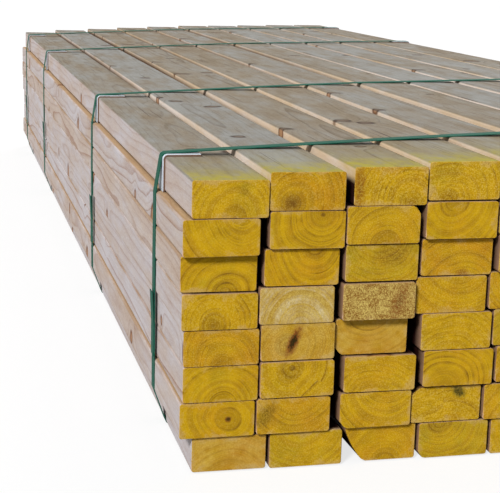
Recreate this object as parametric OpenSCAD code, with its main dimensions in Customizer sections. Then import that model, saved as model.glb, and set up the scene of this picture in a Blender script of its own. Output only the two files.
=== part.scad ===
// Strapped pack of pine studs, lying on the floor.
// X runs across the pack, Y along the studs with the painted near end at -Y, Z up.
// The origin is on the floor under the middle of the pack.

/* [Studs] */
// Width of a stud, across the pack
stud_w = 90; // [70:1:140]
// Nominal thickness of a stud
stud_t = 45; // [35:1:60]
// Length of a stud
stud_l = 2700; // [2400:50:3600]
// Radius of the eased long edges of a stud
arris_r = 3; // [1:0.5:5]

/* [Stack] */
// Studs side by side in a layer
columns = 10; // [6:1:14]
// Layers of studs
layers = 8; // [4:1:12]
// Room across a layer that is shared out between the gaps
slack_w = 60; // [50:1:90]
// How far the ends of the hidden studs may stand in front of or behind the others
stagger = 4; // [0:0.5:10]

/* [Wane] */
// Radius of the log that the waned studs were sawn from
log_r = 120; // [90:5:250]
// Length of stud along which the wane runs out
wane_l = 1500; // [500:50:2400]

/* [Straps] */
// Width of the strap
strap_w = 19; // [12:1:32]
// Thickness of the strap
strap_t = 1; // [0.5:0.1:1.5]
// Distance of the outer straps from the ends of the pack
outer_inset = 185; // [100:5:400]
// Distance of the second strap from the near end
inner_near_inset = 860; // [600:5:1100]
// Distance of the third strap from the far end
inner_far_inset = 810; // [600:5:1100]
// Length of the welded overlap
weld_l = 43; // [20:1:60]
// Height of the overlap's lower end above the floor
weld_z = 92; // [60:1:100]
// Length of the strap's free tail above the weld
tail_l = 42; // [10:1:60]
// How far the tip of the tail springs off the strap
tail_lift = 2; // [0.5:0.1:5]

/* [Corner guards] */
// Length of a guard's leg on the top of the pack; its other leg is as long as the stud's edge is high
guard_leg = 45; // [30:1:60]
// Thickness of a guard
guard_t = 3; // [2:0.5:6]
// Width of a guard along the pack's edge
guard_w = 30; // [20:1:60]
// Clearance between the strap, the guards and the wood
clearance = 0.1; // [0.05:0.05:0.3]

/* [Hidden] */
STRAP_COUNT = 4;

// How each layer lies, from the bottom up: how far its first stud is set in from the pack's left
// face, then the gaps after its first, second and third studs
LAYER_LAY = [
    [17, 4, 5, 4],
    [1, 2, 13, 2],
    [4, 2, 13, 10],
    [4, 2, 2, 16],
    [1, 2, 9, 3],
    [0, 8, 7, 5],
    [0, 12, 2, 7],
    [10, 1, 10, 2]
];
KEPT_GAPS = 3;
// How far the near ends of each layer's first four studs stand forward, from the bottom layer up
END_LAY = [
    [-4, -2, -6, -3],
    [0, 2, 0, -4],
    [0, 3, 1, 1],
    [0, 0, -6, 0],
    [1, 1, 6, -2],
    [-5, -2, 0, -3],
    [6, 3, 3, 4],
    [4, 2, 2, 0]
];
// How much the studs of each column are sawn over or under the nominal thickness
COLUMN_OVER = [-1.2, -0.2, 0.4, 0.9, 1.5, 2, 2.4, 2.7, 3, 3.2];
// Most that a layer's last stud is set in from the pack's right face
RIGHT_SET_IN = 8;
// Smallest and largest share that one of the other gaps takes of the room left over
GAP_SHARE = [1, 3];
LAY_SEED = 41;

// Waned studs: layer, column, side and level of the waned edge (-1 left or low, 1 right or high),
// then the width and height that the bark edge takes off the near end
WANED = [
    [0, 2, -1, -1, 24, 41],
    [0, 3, -1, -1, 6, 8],
    [1, 2, -1, -1, 8, 9],
    [1, 3, -1, 1, 13, 10],
    [3, 2, -1, -1, 8, 10],
    [layers - 2, 2, 1, 1, 8, 11]
];

// Angle that one straight piece of an arc turns through, and the bend that needs no arc
ARC_STEP = 15;
SLIGHT_BEND = 5;
NEARLY_ZERO = 0.000001;

function sum(list, last) = last < 0 ? 0 : list[last] + sum(list, last - 1);

// Gaps after each stud of a layer: the kept ones, then the room left over, shared unevenly
function lay(layer) = LAYER_LAY[layer % len(LAYER_LAY)];
function right_set_in(layer) = rands(0, RIGHT_SET_IN, 1, LAY_SEED + layer)[0];
function shares(layer) =
    rands(GAP_SHARE[0], GAP_SHARE[1], columns - 1 - KEPT_GAPS, LAY_SEED * (layer + 1));
function spare(layer) = slack_w - sum(lay(layer), KEPT_GAPS) - right_set_in(layer);
function gaps(layer) =
    let (share = shares(layer), all = sum(share, len(share) - 1))
    concat(
        [for (i = [1 : KEPT_GAPS]) lay(layer)[i]],
        [for (s = share) spare(layer) * s / all]
    );

// Left face of a stud, measured from the pack's left face
function stud_x(layer, column) =
    lay(layer)[0] + column * stud_w + sum(gaps(layer), column - 1);
stud_left = [
    for (layer = [0 : layers - 1])
        [for (column = [0 : columns - 1]) stud_x(layer, column)]
];

// Undersides of the studs, layer by layer: the stack stands on the bottom runs of the straps, and a
// stud rests on the highest of the studs under it, or beside one whose eased edge it only just laps
stack_z = strap_t + clearance;
function thickness(column) = stud_t + COLUMN_OVER[column % len(COLUMN_OVER)];
function lap(layer, column, under) = stud_w - abs(stud_left[layer][column] - stud_left[layer - 1][under]);
function sink(lapped) =
    lapped > 2 * arris_r ? 0 : 2 * arris_r - sqrt(lapped * (4 * arris_r - lapped));
function seats(layer) =
    layer == 0
        ? [[for (column = [0 : columns - 1]) stack_z]]
        : let (rows = seats(layer - 1))
        concat(rows, [[
            for (column = [0 : columns - 1])
                max([
                    for (under = [0 : columns - 1])
                        let (lapped = lap(layer, column, under))
                        if (lapped > 0) rows[layer - 1][under] + thickness(under) - sink(lapped)
                ])
        ]]);
seat_z = seats(layers - 1);
function stud_top(layer, column) = seat_z[layer][column] + thickness(column);

// How far each stud sits forward or back along the pack
function end_shift(layer) =
    let (hidden = rands(-stagger, stagger, columns, LAY_SEED - layer))
    let (seen = END_LAY[layer % len(END_LAY)])
    [for (column = [0 : columns - 1]) column < len(seen) ? -seen[column] : hidden[column]];
all_shifts = [for (layer = [0 : layers - 1]) each end_shift(layer)];
pack_mid_y = (min(all_shifts) + max(all_shifts)) / 2;

// Places of the straps along the pack
strap_y = [
    -stud_l / 2 + outer_inset,
    -stud_l / 2 + inner_near_inset,
    stud_l / 2 - inner_far_inset,
    stud_l / 2 - outer_inset
];

// Convex wrap of a list of points, counter-clockwise from the lowest one
function turn(a, b, c) = (b.x - a.x) * (c.y - a.y) - (b.y - a.y) * (c.x - a.x);
function outermost(points, p) = [
    for (q = points)
        if (norm(q - p) > NEARLY_ZERO && min([for (c = points) turn(p, q, c)]) > -NEARLY_ZERO) q
];
function farthest(from, list) =
    let (reach = [for (q = list) norm(q - from)])
    [for (i = [0 : len(list) - 1]) if (reach[i] == max(reach)) list[i]][0];
function wrap(points, path) =
    let (next = farthest(path[len(path) - 1], outermost(points, path[len(path) - 1])))
    norm(next - path[0]) < NEARLY_ZERO ? path : wrap(points, concat(path, [next]));
function lowest(points) =
    let (floor_z = min([for (p = points) p.y]))
    let (row = [for (p = points) if (p.y == floor_z) p])
    [for (p = row) if (p.x == min([for (q = row) q.x])) p][0];

// A wrapped path grown outwards by r, with an arc round each of its corners, or a single point
// where the path hardly bends
function heading(a, b) = atan2(b.y - a.y, b.x - a.x) - 90;
function arc(centre, r, from, to) =
    let (steps = ceil(abs(to - from) / ARC_STEP - NEARLY_ZERO))
    abs(to - from) < SLIGHT_BEND
        ? [centre + r / cos((to - from) / 2) * [cos((from + to) / 2), sin((from + to) / 2)]]
        : [
            for (i = [0 : steps])
                let (a = from + (to - from) * i / steps)
                centre + r * [cos(a), sin(a)]
        ];
function grown(path, r) = [
    for (i = [0 : len(path) - 1])
        let (n = len(path), p = path[i])
        let (before = heading(path[(i + n - 1) % n], p), after = heading(p, path[(i + 1) % n]))
        each arc(p, r, before, before + (after - before + 720) % 360)
];

// What the straps bear on, drawn in by the edge radius: the eased edges of the outermost studs, then
// the outer bends and the toes of the guards
function edge_centres(layer, column) = [
    for (x = [stud_left[layer][column] + arris_r, stud_left[layer][column] + stud_w - arris_r])
        for (z = [seat_z[layer][column] + arris_r, stud_top(layer, column) - arris_r])
            [x, z]
];
guard_reach = clearance + guard_t;
function guard_drop(column) = thickness(column) - clearance;
function guard_centres(corner, side, drop) = concat(
    arc(corner - arris_r * [side, 1], guard_reach, 90, side < 0 ? 180 : 0),
    [
        corner + [side * (guard_reach - arris_r), -drop],
        corner + [-side * guard_leg, guard_reach - arris_r]
    ]
);
top_layer = layers - 1;
last_column = columns - 1;
top_left = [stud_left[top_layer][0], stud_top(top_layer, 0)];
top_right = [stud_left[top_layer][last_column] + stud_w, stud_top(top_layer, last_column)];
strap_core = wrap_of(concat(
    [for (layer = [0 : top_layer], column = [0, last_column]) each edge_centres(layer, column)],
    [for (layer = [0, top_layer], column = [1 : last_column - 1]) each edge_centres(layer, column)],
    guard_centres(top_left, -1, guard_drop(0)),
    guard_centres(top_right, 1, guard_drop(last_column))
));
function wrap_of(points) = wrap(points, [lowest(points)]);
strap_inside = grown(strap_core, arris_r + clearance);
strap_outside = grown(strap_core, arris_r + clearance + strap_t);

// The left run of the strap that carries the weld, and the strap's outer end: melted into the run
// along the weld and free above it
function run_at(path, z) = [
    for (i = [0 : len(path) - 1])
        let (upper = path[i], lower = path[(i + 1) % len(path)])
        if (upper.y >= z && lower.y < z) [lower, upper]
][0];
weld_run = run_at(strap_outside, weld_z);
run_along = (weld_run[1] - weld_run[0]) / norm(weld_run[1] - weld_run[0]);
run_out = [-run_along.y, run_along.x];
weld_foot = weld_run[0] + run_along * (weld_z - weld_run[0].y) / run_along.y;
function on_run(along, out) = weld_foot + run_along * along + run_out * out;
weld_sink = strap_t / 2;
tail_root = strap_t / 4;
strap_end = [
    on_run(0, -weld_sink),
    on_run(weld_l, -weld_sink),
    on_run(weld_l, tail_root),
    on_run(weld_l + tail_l, tail_lift),
    on_run(weld_l + tail_l, tail_lift + strap_t),
    on_run(weld_l, strap_t),
    on_run(0, strap_t)
];

// Middle of the pack across, with the straps and their tails
pack_mid_x = (
    min([for (p = concat(strap_outside, strap_end)) p.x]) + max([for (p = strap_outside) p.x])
) / 2;

module stud_section(t) {
    translate([arris_r, 0]) square([stud_w - 2 * arris_r, t]);
    translate([0, arris_r]) square([stud_w, t - 2 * arris_r]);
    for (x = [arris_r, stud_w - arris_r], z = [arris_r, t - arris_r])
        translate([x, z]) circle(r = arris_r, $fn = 32);
}

// A section drawn in X and Z, extruded along the pack from its near face at y
module along_pack(y, length) {
    translate([0, y + length, 0]) rotate([90, 0, 0]) linear_extrude(length) children();
}

// The log that bounds a waned stud. It leaves the bark edge w wide and h high at the near end, and
// leans so that the stud is square again past wane_l
module wane_log(t, side, level, w, h) {
    corner = [side > 0 ? stud_w : 0, level > 0 ? t : 0];
    chord = norm([w, h]);
    inward = [-side * h, -level * w] / chord;
    middle = corner - [side * w, level * h] / 2;
    depth = sqrt(log_r * log_r - chord * chord / 4);
    heart = middle + inward * depth;
    lean = (norm(corner - heart) - log_r) / wane_l;
    translate([heart.x, 0, heart.y])
        rotate([atan(-inward.y * lean), 0, atan(inward.x * lean)])
            along_pack(-log_r, stud_l + 2 * log_r) circle(r = log_r, $fn = 128);
}

module stud(t) {
    along_pack(0, stud_l) stud_section(t);
}

module waned_stud(t, side, level, w, h) {
    intersection() {
        stud(t);
        wane_log(t, side, level, w, h);
    }
}

module layer(index) {
    shift = end_shift(index);
    color("#d8c3a5")
        for (column = [0 : columns - 1]) {
            wane = [for (entry = WANED) if (entry[0] == index && entry[1] == column) entry];
            place = [
                stud_left[index][column] - pack_mid_x,
                shift[column] - pack_mid_y - stud_l / 2,
                seat_z[index][column]
            ];
            t = thickness(column);
            translate(place)
                if (len(wane) > 0) waned_stud(t, wane[0][2], wane[0][3], wane[0][4], wane[0][5]);
                else stud(t);
        }
}

module strap(index) {
    color("#1f6152")
        translate([-pack_mid_x, 0, 0])
            along_pack(strap_y[index] - strap_w / 2, strap_w) {
                difference() {
                    polygon(strap_outside);
                    polygon(strap_inside);
                }
                polygon(strap_end);
            }
}

// Angle section with its corner at the origin, one leg to the right and one down
module guard_section(drop) {
    bend = arris_r * [1, -1];
    inner = arris_r + clearance;
    outer = inner + guard_t;
    polygon(concat(
        [[guard_leg, clearance], [guard_leg, guard_reach]],
        arc(bend, outer, 90, 180),
        [[-guard_reach, -drop], [-clearance, -drop]],
        arc(bend, inner, 180, 90)
    ));
}

module guard(index, corner, side, drop) {
    color("#c9d0d6")
        translate([corner.x - pack_mid_x, 0, corner.y])
            along_pack(strap_y[index] - guard_w / 2, guard_w)
                mirror([side > 0 ? 1 : 0, 0])
                    guard_section(drop);
}

for (i = [1 : layers])
    layer(i - 1);
for (i = [1 : STRAP_COUNT]) {
    strap(i - 1);
    guard(i - 1, top_left, -1, guard_drop(0));
    guard(i - 1, top_right, 1, guard_drop(last_column));
}
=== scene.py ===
import math

import bmesh
import bpy
import numpy as np
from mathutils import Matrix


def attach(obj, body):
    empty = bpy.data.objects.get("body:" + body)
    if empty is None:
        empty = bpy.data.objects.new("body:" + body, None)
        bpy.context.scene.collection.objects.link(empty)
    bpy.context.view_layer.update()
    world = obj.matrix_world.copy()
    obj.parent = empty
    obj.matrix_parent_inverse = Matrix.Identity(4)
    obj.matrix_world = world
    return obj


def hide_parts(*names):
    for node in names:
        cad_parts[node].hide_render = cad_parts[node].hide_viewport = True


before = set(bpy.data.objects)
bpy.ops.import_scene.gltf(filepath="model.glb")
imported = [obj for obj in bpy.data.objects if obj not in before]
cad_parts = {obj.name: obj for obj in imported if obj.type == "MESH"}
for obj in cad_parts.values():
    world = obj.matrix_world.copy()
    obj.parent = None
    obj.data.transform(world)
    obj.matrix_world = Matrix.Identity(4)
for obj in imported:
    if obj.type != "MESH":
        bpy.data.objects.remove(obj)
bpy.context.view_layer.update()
scene = bpy.context.scene
scene.view_settings.view_transform = "Standard"


# Camera: it stands off the left corner of the painted ends, a little above the pack, and looks along
# it, as someone does who walks up to the pack in a timber yard.
SENSOR_MM = 36
PICTURE_WIDTH_PX = 500
FOCAL_LENGTH_PX = 1300
camera_data = bpy.data.cameras.new("camera")
camera_data.sensor_width = SENSOR_MM
camera_data.lens = FOCAL_LENGTH_PX / PICTURE_WIDTH_PX * SENSOR_MM
camera = bpy.data.objects.new("camera", camera_data)
camera.location = (-0.7446, -2.7566, 0.5959)
camera.rotation_euler = [math.radians(angle) for angle in (77.46, -1.61, -13.44)]
scene.collection.objects.link(camera)
scene.camera = camera


# Studs: sawn pine, 90 by 45 mm, with eased long edges, cut to length and laid flat in layers. Each
# keeps the place in the log that it was sawn from, which the rings, grain and knots then follow.
# The ends of the pack were sealed with a thin yellow paint that settled on the edges as well.
MM = 0.001
LAYERS = sorted(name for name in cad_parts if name.startswith("layer_"))
TOP_LAYER = LAYERS[-1]
EDGE_RADIUS = 3 * MM
END_EASE = 0.8 * MM
LOG_RADIUS = 120
WANE_LENGTH = 1500
STUD_SEED = 20
random = np.random.default_rng(STUD_SEED)


def solids_of(node):
    """Boxes of the separate solids of a CAD node, from left to right, as lowest and highest corners."""
    same_point = 0.001 * MM
    copy = bmesh.new()
    copy.from_mesh(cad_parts[node].data)
    bmesh.ops.remove_doubles(copy, verts=copy.verts, dist=same_point)
    waiting = set(copy.verts)
    boxes = []
    while waiting:
        solid = []
        reached = [waiting.pop()]
        while reached:
            vertex = reached.pop()
            solid.append(vertex.co.copy())
            for edge in vertex.link_edges:
                other = edge.other_vert(vertex)
                if other in waiting:
                    waiting.remove(other)
                    reached.append(other)
        places = np.array(solid)
        boxes.append((places.min(0), places.max(0)))
    copy.free()
    return sorted(boxes, key=lambda box: box[0][0])


def add(tree, kind, inputs=(), out=0, **settings):
    """Adds a node with its settings, sets or links its inputs, given in order, by number or by name, and
    returns one of its outputs. A colour mix has its two colours on inputs 6 and 7 and its result on
    output 2, and a number mix has its two numbers on inputs 2 and 3."""
    node = tree.nodes.new(kind)
    for name, value in settings.items():
        setattr(node, name, value)
    for key, value in inputs.items() if isinstance(inputs, dict) else enumerate(inputs):
        if isinstance(value, bpy.types.NodeSocket):
            tree.links.new(value, node.inputs[key])
        else:
            node.inputs[key].default_value = value
    return node.outputs[out] if node.outputs else None


def linear(hex_colour):
    """An sRGB hex colour as linear red, green, blue and alpha."""
    shares = [int(hex_colour[i:i + 2], 16) / 255 for i in (1, 3, 5)]
    return [s / 12.92 if s <= 0.04045 else ((s + 0.055) / 1.055) ** 2.4 for s in shares] + [1]


def stud_stack_tree():
    """A node tree that sets one eased stud on each point, as thick and as rolled as the point says."""
    tree = bpy.data.node_groups.new("stud_stack", "GeometryNodeTree")
    sockets = tree.interface
    sockets.new_socket("Places", in_out="INPUT", socket_type="NodeSocketGeometry")
    for name in ("Width", "Thickness", "Length", "Edge radius", "End ease"):
        sockets.new_socket(name, in_out="INPUT", socket_type="NodeSocketFloat")
    sockets.new_socket("Pine", in_out="INPUT", socket_type="NodeSocketMaterial")
    sockets.new_socket("Studs", in_out="OUTPUT", socket_type="NodeSocketGeometry")
    given = add(tree, "NodeGroupInput").node.outputs

    section_cuts = 9
    edge_steps = 4
    station_count = 31
    same_point = 0.01 * MM
    section = add(tree, "GeometryNodeCurvePrimitiveQuadrilateral",
                  {"Width": given["Width"], "Height": given["Thickness"]})
    section = add(tree, "GeometryNodeSubdivideCurve", {"Curve": section, "Cuts": section_cuts})
    section = add(tree, "GeometryNodeFilletCurve",
                  {"Curve": section, "Count": edge_steps, "Radius": given["Edge radius"]}, mode="POLY")

    # The stations crowd towards the two ends, where the sawn edges are eased
    far_end = add(tree, "ShaderNodeCombineXYZ", {"Y": given["Length"]})
    rail = add(tree, "GeometryNodeCurvePrimitiveLine", {"End": far_end})
    rail = add(tree, "GeometryNodeResampleCurve", {"Curve": rail, "Count": station_count})
    share = add(tree, "GeometryNodeSplineParameter")
    station = add(tree, "ShaderNodeMapRange", {"Value": share, "To Max": given["Length"]},
                  interpolation_type="SMOOTHERSTEP")
    rail = add(tree, "GeometryNodeSetPosition",
               {"Geometry": rail, "Position": add(tree, "ShaderNodeCombineXYZ", {"Y": station})})
    at_end = add(tree, "GeometryNodeCurveEndpointSelection")
    eased = add(tree, "ShaderNodeMath", (given["End ease"], given["Thickness"]), operation="DIVIDE")
    size = add(tree, "ShaderNodeMath", (at_end, eased), operation="MULTIPLY")
    size = add(tree, "ShaderNodeMath", (1.0, size), operation="SUBTRACT")
    stud = add(tree, "GeometryNodeCurveToMesh",
               {"Curve": rail, "Profile Curve": section, "Scale": size, "Fill Caps": True})
    stud = add(tree, "GeometryNodeMergeByDistance", {"Geometry": stud, "Distance": same_point})

    thick = add(tree, "GeometryNodeInputNamedAttribute", {"Name": "thickness_share"}, data_type="FLOAT")
    roll = add(tree, "GeometryNodeInputNamedAttribute", {"Name": "roll"}, data_type="FLOAT")
    studs = add(tree, "GeometryNodeInstanceOnPoints", {
        "Points": given["Places"], "Instance": stud,
        "Rotation": add(tree, "ShaderNodeCombineXYZ", {"Y": roll}),
        "Scale": add(tree, "ShaderNodeCombineXYZ", {"X": 1.0, "Y": 1.0, "Z": thick}),
    })
    studs = add(tree, "GeometryNodeRealizeInstances", {"Geometry": studs})
    studs = add(tree, "GeometryNodeSetMaterial", {"Geometry": studs, "Material": given["Pine"]})
    add(tree, "NodeGroupOutput", {"Studs": studs})
    return tree


def made_by(tree, name, points, values):
    """Runs a node tree on a mesh of points, and returns its result as a plain object of that name."""
    piece = bpy.data.objects.new(name, points)
    scene.collection.objects.link(piece)
    modifier = piece.modifiers.new(tree.name, "NODES")
    modifier.node_group = tree
    for socket in tree.interface.items_tree:
        if socket.name in values:
            modifier[socket.identifier] = values[socket.name]
    bpy.context.view_layer.update()
    result = bpy.data.meshes.new_from_object(piece.evaluated_get(bpy.context.evaluated_depsgraph_get()))
    piece.modifiers.remove(modifier)
    piece.data = result
    result.name = name
    return piece


def pulled_to_log(places, thickness, wane, width):
    """Pulls the corner of a stud onto the bark side of its log. Places are millimetres from the stud's
    lower left corner at its near end, and the log leans, so that the wane runs out along the stud.
    Returns the new places and how far each one moved."""
    side, level, wane_width, wane_height = wane
    corner = np.array([width if side > 0 else 0, thickness if level > 0 else 0])
    chord = math.hypot(wane_width, wane_height)
    inward = np.array([-side * wane_height, -level * wane_width]) / chord
    middle = corner - np.array([side * wane_width, level * wane_height]) / 2
    heart = middle + inward * math.sqrt(LOG_RADIUS ** 2 - chord ** 2 / 4)
    lean = (np.linalg.norm(corner - heart) - LOG_RADIUS) / WANE_LENGTH
    hearts = heart - inward * lean * places[:, 1:2]
    from_heart = places[:, [0, 2]] - hearts
    far = np.linalg.norm(from_heart, axis=1, keepdims=True)
    kept = hearts + from_heart * np.minimum(1, LOG_RADIUS / far)
    moved = places.copy()
    moved[:, [0, 2]] = kept
    return moved, np.linalg.norm(moved - places, axis=1)


def laid_out(mesh, column, in_stud, strips):
    """Lays the faces of a layer's studs out on one square map. Both ends of each stud take most of it,
    and below them each long face is a strip, as high in map dots and cut into as many lengths as the
    strips say for its kind: top, bottom, inner or outer side."""
    dots = 1024
    in_row = 5
    rim_depth = 1.5
    corner = np.empty(len(mesh.loops), np.int32)
    mesh.loops.foreach_get("vertex_index", corner)
    first = np.empty(len(mesh.polygons), np.int32)
    mesh.polygons.foreach_get("loop_start", first)
    total = np.empty(len(mesh.polygons), np.int32)
    mesh.polygons.foreach_get("loop_total", total)
    normal = np.empty(len(mesh.polygons) * 3, np.float32)
    mesh.polygons.foreach_get("normal", normal)
    normal = normal.reshape(-1, 3)
    place = in_stud[corner]
    stud = column[corner]
    size = in_stud.max(0)
    count = column.max() + 1

    # A face belongs to the side of the stud that it looks to, and the eased rims belong to the ends
    middle = np.add.reduceat(place[:, 1], first) / total
    inmost = np.maximum.reduceat(np.minimum(place[:, 1], size[1] - place[:, 1]), first)
    way = np.abs(normal).argmax(1)
    ahead = normal[np.arange(len(normal)), way] > 0
    ended = inmost < rim_depth
    way[ended] = 1
    ahead[ended] = middle[ended] > size[1] / 2
    way = np.repeat(way, total)
    ahead = np.repeat(ahead, total)
    middle = np.repeat(middle, total)

    spots = np.zeros((len(corner), 2))
    cell = np.array([dots / in_row, dots / in_row / 2])
    for i in range(count):
        for far in (False, True):
            mine = (stud == i) & (way == 1) & (ahead == far)
            number = 2 * i + far
            start = np.array([number % in_row, number // in_row]) * cell + 1
            spots[mine] = start + place[mine][:, [0, 2]] / size[[0, 2]] * (cell - 2)
    level = math.ceil(2 * count / in_row) * cell[1] + 1

    stations = np.unique(place[:, 1].round(2))
    for i in range(count):
        for side, forward in ((0, False), (0, True), (2, False), (2, True)):
            if side == 2:
                kind = "top" if forward else "bottom"
            else:
                kind = "outer" if i == (count - 1 if forward else 0) else "inner"
            height, lengths = strips[kind]
            wanted = [size[1] * k / lengths for k in range(lengths + 1)]
            cuts = [stations[np.abs(stations - cut).argmin()] for cut in wanted]
            longest = np.diff(cuts).max()
            for near_cut, far_cut in zip(cuts, cuts[1:]):
                mine = (stud == i) & (way == side) & (ahead == forward)
                mine &= (middle > near_cut) & (middle < far_cut)
                across = place[mine, 2 - side] / size[2 - side]
                spots[mine, 0] = 1 + (place[mine, 1] - near_cut) / longest * (dots - 2)
                spots[mine, 1] = level + across * height
                level += height + 1
    layout = mesh.uv_layers.new(name="OFBake")
    layout.data.foreach_set("uv", (spots / dots).astype(np.float32).ravel())


def pattern(tree, vector, seed, across, along, up, detail=2.0, roughness=0.5):
    """Noise that is as coarse as the given sizes in millimetres, and different in each stud."""
    spread = add(tree, "ShaderNodeVectorMath", (vector, (1 / across, 1 / along, 1 / up)),
                 operation="MULTIPLY")
    apart = add(tree, "ShaderNodeVectorMath", {0: (57.0, 91.0, 33.0), "Scale": seed}, operation="SCALE")
    moved = add(tree, "ShaderNodeVectorMath", (spread, apart), operation="ADD")
    return add(tree, "ShaderNodeTexNoise",
               {"Vector": moved, "Scale": 1.0, "Detail": detail, "Roughness": roughness})


def knot_distance(tree, in_log, radius, seed, in_stud):
    """Distance from the nearest branch in its own radii. Branches grow straight out from the pith, in
    whorls half a metre or so apart."""
    whorl = 430.0
    branch_turn = 1.1
    branch_lean = 0.25
    thinnest = 7.0
    thickest = 16.0
    log_x, log_y, log_z = add(tree, "ShaderNodeSeparateXYZ", (in_log,)).node.outputs
    turn = add(tree, "ShaderNodeMath", (log_x, log_z), operation="ARCTAN2")
    first_turn = add(tree, "ShaderNodeMath", (seed, 61.0), operation="MULTIPLY")
    first_whorl = add(tree, "ShaderNodeMath", (seed, 173.0), operation="MULTIPLY")
    turn = add(tree, "ShaderNodeMath", (turn, branch_turn, first_turn), operation="MULTIPLY_ADD")
    along = add(tree, "ShaderNodeMath", (log_y, 1 / whorl, first_whorl), operation="MULTIPLY_ADD")
    cells = add(tree, "ShaderNodeCombineXYZ", (turn, along))
    branches = add(tree, "ShaderNodeTexVoronoi", {"Vector": cells, "Scale": 1.0, "Randomness": 0.9},
                   voronoi_dimensions="2D").node.outputs
    chance = add(tree, "ShaderNodeSeparateColor", (branches["Color"],)).node.outputs

    # The branch leans a little towards the tip of the tree
    off = add(tree, "ShaderNodeVectorMath", (cells, branches["Position"]), operation="SUBTRACT")
    off_turn, off_along, _ = add(tree, "ShaderNodeSeparateXYZ", (off,)).node.outputs
    aside = add(tree, "ShaderNodeMath", (off_turn, radius), operation="MULTIPLY")
    aside = add(tree, "ShaderNodeMath", (aside, branch_turn), operation="DIVIDE")
    beyond = add(tree, "ShaderNodeMath", (off_along, whorl), operation="MULTIPLY")
    beyond = add(tree, "ShaderNodeMath", (radius, -branch_lean, beyond), operation="MULTIPLY_ADD")
    off = add(tree, "ShaderNodeCombineXYZ", (aside, beyond))
    distance = add(tree, "ShaderNodeVectorMath", (off,), out="Value", operation="LENGTH")
    ragged = pattern(tree, in_stud, seed, 9, 16, 9)
    distance = add(tree, "ShaderNodeMath", (ragged, 4.0, distance), operation="MULTIPLY_ADD")

    # It thickens as it leaves the pith, and not every place in a whorl has one
    thick = add(tree, "ShaderNodeMath", (chance[1], thickest - thinnest, thinnest),
                operation="MULTIPLY_ADD")
    thicker = add(tree, "ShaderNodeMapRange", (radius, 5.0, 45.0, 0.05, 1.0))
    thick = add(tree, "ShaderNodeMath", (thick, thicker), operation="MULTIPLY")
    share = add(tree, "ShaderNodeMath", (distance, thick), operation="DIVIDE")
    missing = add(tree, "ShaderNodeMath", (chance[0], 0.45), operation="LESS_THAN")
    return add(tree, "ShaderNodeMath", (missing, 20.0, share), operation="MULTIPLY_ADD")


def ring_lines(tree, grown, seed, ring, start):
    """The dark late wood of growth rings of the given width, each as strong as its year made it."""
    rings = add(tree, "ShaderNodeMath", (grown, ring), operation="DIVIDE")
    year = add(tree, "ShaderNodeMath", (rings,), operation="FLOOR")
    year = add(tree, "ShaderNodeMath", (seed, 517.0, year), operation="MULTIPLY_ADD")
    strength = add(tree, "ShaderNodeTexWhiteNoise", {"W": year}, noise_dimensions="1D")
    strength = add(tree, "ShaderNodeMath", (strength, 2.5), operation="POWER")
    strength = add(tree, "ShaderNodeMath", (strength, 0.85, 0.15), operation="MULTIPLY_ADD")
    share = add(tree, "ShaderNodeMath", (rings,), operation="FRACT")
    late = add(tree, "ShaderNodeMapRange", (share, start, 0.95), interpolation_type="SMOOTHSTEP")
    ended = add(tree, "ShaderNodeMapRange", (share, 1.0, 0.93), interpolation_type="SMOOTHSTEP")
    late = add(tree, "ShaderNodeMath", (late, ended), operation="MULTIPLY")
    return add(tree, "ShaderNodeMath", (late, strength), operation="MULTIPLY")


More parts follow.
